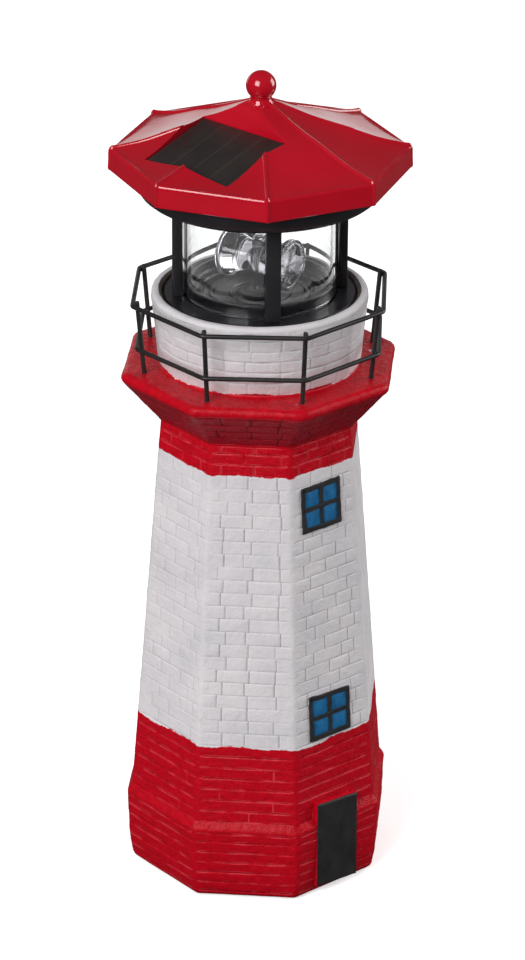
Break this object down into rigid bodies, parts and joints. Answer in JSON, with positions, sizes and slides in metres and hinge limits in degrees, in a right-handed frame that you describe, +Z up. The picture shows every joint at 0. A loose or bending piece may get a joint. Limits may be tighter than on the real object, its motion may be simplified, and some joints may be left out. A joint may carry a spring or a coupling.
{
  "type": "garden lighthouse ornament",
  "caption": "Solar garden lighthouse: octagonal brick tower with railed gallery, lift-out lantern with clear tube, turning lens and gear drive, octagonal roof with panel and ball finial.",
  "frame": {"origin": "on the ground under the tower's axis", "axes": "+Z up along the tower's axis, the door faces -Y"},
  "size_m": [0.1276, 0.1276, 0.3661],
  "materials": {
    "painted_resin": "hand-painted cast resin, red and white bands, slightly rough",
    "pad": "matte",
    "black_wire": "satin black paint",
    "black_plastic": "satin black moulding",
    "clear_plastic": "clear, polished",
    "red_gloss": "glossy red",
    "solar_resin": "dark cells under clear resin",
    "screw_steel": "zinc plated",
    "motor_steel": "drawn sheet",
    "grey_nylon": "moulded, dark grey",
    "white_plastic": "moulded",
    "lamp_resin": "clear resin",
    "board_green": "solder mask",
    "cell_metal": "printed sleeve, plain",
    "lead_sheath": "flexible sheath"
  },
  "bodies": {
    "tower": {"tower_casting": "painted_resin", "foot_pads": "pad", "rail_upper_ring": "black_wire", "rail_lower_ring": "black_wire", "rail_posts": "black_wire"},
    "lantern": {"lantern_plate": "black_plastic", "spindle_bush": "grey_nylon", "clear_tube": "clear_plastic", "lantern_posts": "black_plastic", "post_screws": "screw_steel", "roof_pan": "black_plastic", "roof_screws": "screw_steel", "roof_shell": "red_gloss", "finial_ball": "red_gloss", "solar_panel": "solar_resin", "solar_lead": "lead_sheath", "idler_shaft": "screw_steel", "motor_can": "motor_steel", "motor_screws": "screw_steel", "motor_lead": "lead_sheath", "gearbox_plate": "black_plastic", "gearbox_screws": "screw_steel", "led_stem": "grey_nylon", "led_lamp": "lamp_resin", "led_lead": "lead_sheath", "circuit_board": "board_green", "board_parts": "black_plastic", "drive_cup": "black_plastic", "cup_screws": "screw_steel", "cover_pin": "screw_steel", "battery_cell": "cell_metal", "battery_contacts": "motor_steel", "switch_body": "black_plastic"},
    "beacon": {"beacon_optic": "clear_plastic", "spindle_gear": "grey_nylon"},
    "idler": {"idler_gear": "white_plastic"},
    "motor_rotor": {"motor_pinion": "white_plastic", "motor_shaft": "screw_steel"},
    "switch_slider": {"switch_slider": "white_plastic"},
    "battery_door": {"battery_cover": "black_plastic"}
  },
  "joints": [
    {"name": "lantern_lift", "type": "slide", "parent": "tower", "child": "lantern", "axis": [0, 0, 1], "range_m": [0, 0.075]},
    {"name": "beacon_spin", "type": "hinge", "parent": "lantern", "child": "beacon", "pos_m": [0, 0, 0.283], "axis": [0, 0, 1], "continuous": true},
    {"name": "idler_spin", "type": "hinge", "parent": "lantern", "child": "idler", "pos_m": [0, -0.015, 0.2575], "axis": [0, 0, 1], "continuous": true},
    {"name": "motor_spin", "type": "hinge", "parent": "lantern", "child": "motor_rotor", "pos_m": [0.014, -0.015, 0.2475], "axis": [0, 0, 1], "continuous": true},
    {"name": "switch_slide", "type": "slide", "parent": "lantern", "child": "switch_slider", "axis": [0, 1, 0], "range_m": [0, 0.003]},
    {"name": "battery_door_hinge", "type": "hinge", "parent": "lantern", "child": "battery_door", "pos_m": [-0.0105, 0, 0.211], "axis": [0, 1, 0], "range_deg": [0, 100]}
  ],
  "couplings": [
    {"joint": "idler_spin", "follows": "beacon_spin", "ratio": -4},
    {"joint": "motor_spin", "follows": "beacon_spin", "ratio": 14.667}
  ]
}
